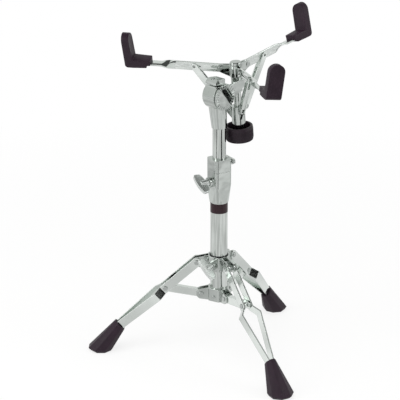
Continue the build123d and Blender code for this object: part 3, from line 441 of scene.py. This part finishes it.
arm = new_primitive(bpy.ops.mesh.primitive_cube_add, "arm", ((TWIST_FROM - ARM_DEPTH / 2) / 2, 0, 0),
                    (TWIST_FROM + ARM_DEPTH / 2, ARM_THICK, ARM_DEPTH), size=1)
pick("EDGE", lambda edge: centre(edge).x < NEAR - ARM_DEPTH / 2 and along(edge, 1))
bpy.ops.mesh.bevel(offset=HALF_ROUND * ARM_DEPTH, segments=10, affect="EDGES")
pick("FACE", lambda face: face.normal.x > 0.99 and centre(face).x > TWIST_FROM - NEAR)
run = (TWIST_TO - TWIST_FROM) / TWIST_STEPS
for _ in range(TWIST_STEPS):
    bpy.ops.mesh.extrude_region_move(TRANSFORM_OT_translate={"value": (run, 0, 0)})
    bpy.ops.transform.rotate(value=-ARM_TWIST / TWIST_STEPS, orient_axis="X",
                             center_override=(0, 0, 0))
bpy.ops.mesh.extrude_region_move(TRANSFORM_OT_translate={"value": (ARM_END - TWIST_TO, 0, 0)})
bpy.ops.object.mode_set(mode="OBJECT")
for x in (0, ARM_RIVET_X):
    cut_round(arm, (x, 0, 0), ARM_PIN_RADIUS, 4 * ARM_THICK, (pi / 2, 0, 0))
round_edges(arm, ARM_EDGE, 2, 40)
for side in SIDES:
    settle(arm, side + "_arm_strip", arm_frame(side), strip_chrome, "arm_" + side,
           side + "_basket_arm")
bpy.data.objects.remove(arm)


# --- Basket tips ---
# Rubber caps on the upturned ends of the three arms: an upright with a round top, standing on a foot
# that is slit over the arm. Both faces of the upright have a fine raised border.

TIP_WIDTH = 25.0 * MM
TIP_HEIGHT = 56.5 * MM
TIP_BELOW = 4.5 * MM  # below the arm's middle
TIP_THICK, TIP_TOP_THICK = 14.0 * MM, 12.5 * MM
TIP_LEAN = radians(5.0)
FOOT_TOP = 8.5 * MM
FOOT_STEP = -0.5 * MM
FOOT_STEP_X = -35.0 * MM
FOOT_END_X = -41.0 * MM
FOOT_END_WIDTH = 20.0 * MM
FOOT_NARROWS = 0.84  # of the width
HEEL = 5.0 * MM
BORDER, BORDER_DEPTH = 1.7 * MM, 0.35 * MM
TIP_EDGE = 0.9 * MM

tip = new_primitive(bpy.ops.mesh.primitive_cube_add, "tip",
                    (-TIP_THICK / 2, 0, TIP_HEIGHT / 2 - TIP_BELOW),
                    (TIP_THICK, TIP_WIDTH, TIP_HEIGHT), size=1)
top = pick("FACE", lambda face: face.normal.z > FACING)
bpy.ops.transform.resize(value=(TIP_TOP_THICK / TIP_THICK, 1, 1), center_override=top)
lean = TIP_HEIGHT * tan(TIP_LEAN) + (TIP_THICK - TIP_TOP_THICK) / 2
bpy.ops.transform.translate(value=(lean, 0, 0))
bpy.ops.mesh.select_all(action="SELECT")
bpy.ops.mesh.bisect(plane_co=(0, 0, FOOT_TOP), plane_no=(0, 0, 1))
back = pick("FACE", lambda face: face.normal.x < -FACING and centre(face).z < FOOT_TOP)
bpy.ops.mesh.extrude_region_move(TRANSFORM_OT_translate={"value": (FOOT_STEP_X - back.x, 0, 0)})
bpy.ops.transform.resize(value=(0, FOOT_NARROWS, 1), center_override=(FOOT_STEP_X, 0, 0))
pick("FACE", lambda face: centre(face).x < FOOT_STEP_X + NEAR)
bpy.ops.mesh.bisect(plane_co=(0, 0, FOOT_STEP), plane_no=(0, 0, 1))
pick("FACE", lambda face: centre(face).x < FOOT_STEP_X + NEAR and centre(face).z > FOOT_STEP)
bpy.ops.mesh.extrude_region_move(TRANSFORM_OT_translate={"value": (FOOT_END_X - FOOT_STEP_X, 0, 0)})
bpy.ops.transform.resize(value=(1, FOOT_END_WIDTH / (FOOT_NARROWS * TIP_WIDTH), 1),
                         center_override=(0, 0, 0))
pick("EDGE", lambda edge: centre(edge).z > TIP_HEIGHT - TIP_BELOW - NEAR and along(edge, 0))
bpy.ops.mesh.bevel(offset=HALF_ROUND * TIP_WIDTH, segments=12, affect="EDGES")
pick("EDGE", lambda edge: centre(edge).z < NEAR - TIP_BELOW and abs(centre(edge).x) < NEAR
     and along(edge, 1))
bpy.ops.mesh.bevel(offset=HEEL, segments=5, affect="EDGES")
for facing in (1, -1):
    pick("FACE", lambda face: facing * face.normal.x > FACING and centre(face).x > -0.9 * TIP_THICK
         and centre(face).z > 0)
    bpy.ops.mesh.inset(thickness=BORDER)
    bpy.ops.transform.translate(value=(-facing * BORDER_DEPTH, 0, 0))
round_edges(tip, TIP_EDGE, 3)
on_arm = Matrix.Rotation(ARM_TWIST - pi / 2, 4, "X") @ Matrix.Translation((ARM_REACH, 0, 0))
for side in SIDES:
    settle(tip, side + "_tip_moulding", arm_frame(side) @ on_arm, boot_rubber,
           "arm_" + side, side + "_basket_tip")
bpy.data.objects.remove(tip)


# --- Wing bolts ---
# Cast wing bolts with crescent wings, tumbled before they are plated so that every edge is soft,
# and a little duller than the polished castings.

wing_chrome = chrome_plate("chrome_on_tumbled_casting", ("#E2E5E3", "#D4D9D6"), 0.36, 0.46,
                           7, 0.06, EVEN)
WING_EDGE = 1.2 * MM
SAME_POINT = 0.001 * MM
SAME_PLANE = radians(1.0)
for name, body in (("collar_wing_bolt", "collar_wing"), ("height_wing_bolt", "height_wing")):
    bpy.ops.object.select_all(action="DESELECT")
    wing = bpy.data.objects.new(name + "_casting", nodes[name].data.copy())
    bpy.context.scene.collection.objects.link(wing)
    wing.select_set(True)
    bpy.context.view_layer.objects.active = wing
    bpy.ops.object.mode_set(mode="EDIT")
    bpy.ops.mesh.select_all(action="SELECT")
    bpy.ops.mesh.remove_doubles(threshold=SAME_POINT)
    bpy.ops.mesh.dissolve_limited(angle_limit=SAME_PLANE)
    round_edges(wing, WING_EDGE, 4, 50)
    wing.data.materials.clear()
    wing.data.materials.append(wing_chrome)
    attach(wing, body)
    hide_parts(name)


# --- Bushes, band and brass nut ---
# Nylon liners that keep the tubes from rattling, a glossy vinyl band left bare, and a turned
# brass nut. The faint grain of all three is drawn coarser than it is.

bush_nylon = moulded_rubber("moulded_black_nylon", ("#17151A", "#211E24"), 0.34, 0.46, 0.5, 0.03)
dress(["clamp_bush", "collar_bush"], bush_nylon)
band_vinyl = moulded_rubber("gloss_dark_vinyl_film", ("#241319", "#2E171E"), 0.16, 0.24, 1.2, 0.01)
dress(["label_band"], band_vinyl)
insert_brass = chrome_plate("turned_brass", ("#C9A45C", "#A9843F"), 0.20, 0.38, 1.0, 0.03, EVEN)
dress(["knob_insert"], insert_brass)


# --- Floor, light and camera ---
# A plain white sweep under broad soft lamps, with dark cards that only reflections see: three
# tall ones draw dark lines in the tubes, a high one darkens the slanted faces at the knees.

SWEEP = 12.0
FLOOR_DROP = 0.2 * MM

bpy.ops.object.select_all(action="DESELECT")
bpy.ops.mesh.primitive_plane_add(size=SWEEP, location=(0, 0, -FLOOR_DROP))
floor = bpy.context.object
floor.name = "floor"
paper, paper_tree = new_material("white_paper_sweep")
ray = add_node(paper_tree, "ShaderNodeLightPath")
matt = add_node(paper_tree, "ShaderNodeBsdfDiffuse", values={"Color": linear("#F4F4F3")})
seen = add_node(paper_tree, "ShaderNodeMath", {"operation": "MAXIMUM"},
                links={0: ray.outputs["Is Camera Ray"], 1: ray.outputs["Is Glossy Ray"]})
spot = add_node(paper_tree, "ShaderNodeTexCoord")
# Painted reflection: for rays from the metal the sweep's glow is dimmed in noise patches, so the metal
# mirrors dark patches that are painted here, while the camera sees the sweep plain white.
painted_reflection_patches = add_node(paper_tree, "ShaderNodeTexNoise", values={"Scale": 4.5, "Detail": 1.5},
                   links={"Vector": spot.outputs["Object"]})
painted_reflection_dimmer = add_node(paper_tree, "ShaderNodeMapRange", values={"From Min": 0.38, "From Max": 0.60,
                  "To Min": -0.42, "To Max": 0.0}, links={"Value": painted_reflection_patches.outputs["Fac"]})
glow = add_node(paper_tree, "ShaderNodeMath", {"operation": "MULTIPLY_ADD"}, {2: 1.0},
                {0: ray.outputs["Is Glossy Ray"], 1: painted_reflection_dimmer.outputs["Result"]})
bright = add_node(paper_tree, "ShaderNodeEmission", values={"Color": (1, 1, 1, 1)},
                  links={"Strength": glow.outputs["Value"]})
away = add_node(paper_tree, "ShaderNodeVectorMath", {"operation": "LENGTH"},
                links={0: spot.outputs["Object"]})
fade = add_node(paper_tree, "ShaderNodeMapRange", values={"From Min": 0.3, "From Max": 1.3,
                "To Min": 0.78, "To Max": 1.0}, links={"Value": away.outputs["Value"]})
share = add_node(paper_tree, "ShaderNodeMath", {"operation": "MULTIPLY"},
                 links={0: seen.outputs["Value"], 1: fade.outputs["Result"]})
blend = add_node(paper_tree, "ShaderNodeMixShader", links={0: share.outputs["Value"],
                 1: matt.outputs["BSDF"], 2: bright.outputs["Emission"]})
add_node(paper_tree, "ShaderNodeOutputMaterial", links={"Surface": blend.outputs["Shader"]})
floor.data.materials.append(paper)

world = bpy.data.worlds.new("soft_white_room")
bpy.context.scene.world = world
world.use_nodes = True
room = world.node_tree
room.nodes.clear()
ray = add_node(room, "ShaderNodeLightPath")
fill = add_node(room, "ShaderNodeBackground", values={"Color": (1, 1, 1, 1), "Strength": 0.62})
backdrop = add_node(room, "ShaderNodeBackground", values={"Color": (1, 1, 1, 1), "Strength": 1.0})
heading = add_node(room, "ShaderNodeTexCoord")
split = add_node(room, "ShaderNodeSeparateXYZ", links={"Vector": heading.outputs["Generated"]})
ceiling = add_node(room, "ShaderNodeMapRange", values={"From Min": 0.78, "From Max": 0.84,
                   "To Min": 0.9, "To Max": 0.08}, links={"Value": split.outputs["Z"]})
walls = add_node(room, "ShaderNodeBackground", values={"Color": linear("#F0F2F0")},
                 links={"Strength": ceiling.outputs["Result"]})
plain = add_node(room, "ShaderNodeMixShader", links={0: ray.outputs["Is Glossy Ray"],
                 1: fill.outputs["Background"], 2: walls.outputs["Background"]})
shown = add_node(room, "ShaderNodeMixShader", links={0: ray.outputs["Is Camera Ray"],
                 1: plain.outputs["Shader"], 2: backdrop.outputs["Background"]})
add_node(room, "ShaderNodeOutputWorld", links={"Surface": shown.outputs["Shader"]})


def soft_lamp(name, place, aim, width, height, watts, mirrored=True):
    """A rectangular soft box turned towards a point, that reflections may or may not see."""
    data = bpy.data.lights.new(name, "AREA")
    data.shape = "RECTANGLE"
    data.size = width
    data.size_y = height
    data.energy = watts
    lamp = bpy.data.objects.new(name, data)
    bpy.context.scene.collection.objects.link(lamp)
    lamp.location = place
    lamp.rotation_euler = (Vector(aim) - Vector(place)).to_track_quat("-Z", "Y").to_euler()
    lamp.visible_glossy = mirrored


middle = (0, 0, 0.3)
soft_lamp("overhead_box", (-0.5, -0.9, 2.6), middle, 2.2, 2.2, 34, False)
soft_lamp("left_box", (-2.3, -1.2, 1.3), middle, 1.2, 1.8, 16)
soft_lamp("right_box", (2.3, -0.6, 1.5), middle, 1.2, 1.8, 12)

black, card_tree = new_material("black_card")
ink = add_node(card_tree, "ShaderNodeBsdfDiffuse", values={"Color": linear("#1A1A1A")})
add_node(card_tree, "ShaderNodeOutputMaterial", links={"Surface": ink.outputs["BSDF"]})


def dark_card(name, azimuth, distance, width, height, lift):
    """An upright black card facing the stand, lifted off the floor, that only reflections see."""
    bpy.ops.object.select_all(action="DESELECT")
    bpy.ops.mesh.primitive_plane_add(size=1, location=(0, 0, 0))
    card = bpy.context.object
    card.name = name
    card.scale = (width, height, 1)
    card.rotation_euler = (radians(90), 0, radians(azimuth))
    card.location = (distance * sin(radians(azimuth)), -distance * cos(radians(azimuth)),
                     lift + height / 2)
    card.data.materials.append(black)
    card.visible_camera = False
    card.visible_diffuse = False
    card.visible_shadow = False


dark_card("left_card", -46, 0.55, 0.08, 1.5, 0.08)
dark_card("right_card", 38, 0.55, 0.17, 1.5, 0.08)
dark_card("back_card", 128, 0.55, 0.05, 1.5, 0.08)
dark_card("knee_card", 63, 2.0, 0.5, 0.5, 0.68)

# A long lens above the stand, looking a little down at it.
LENS = 159.4
CAMERA_PLACE = (0.0, -2.727, 1.278)
CAMERA_AIM = (-0.01077, 0.93788, -0.34678)
camera = bpy.data.objects.new("camera", bpy.data.cameras.new("camera"))
bpy.context.scene.collection.objects.link(camera)
camera.data.lens = LENS
camera.data.sensor_width = 36
camera.data.clip_start = 0.1
camera.data.clip_end = 50
camera.location = CAMERA_PLACE
camera.rotation_mode = "QUATERNION"
camera.rotation_quaternion = Vector(CAMERA_AIM).to_track_quat("-Z", "Y")
bpy.context.scene.camera = camera
bpy.context.scene.view_settings.view_transform = "Standard"
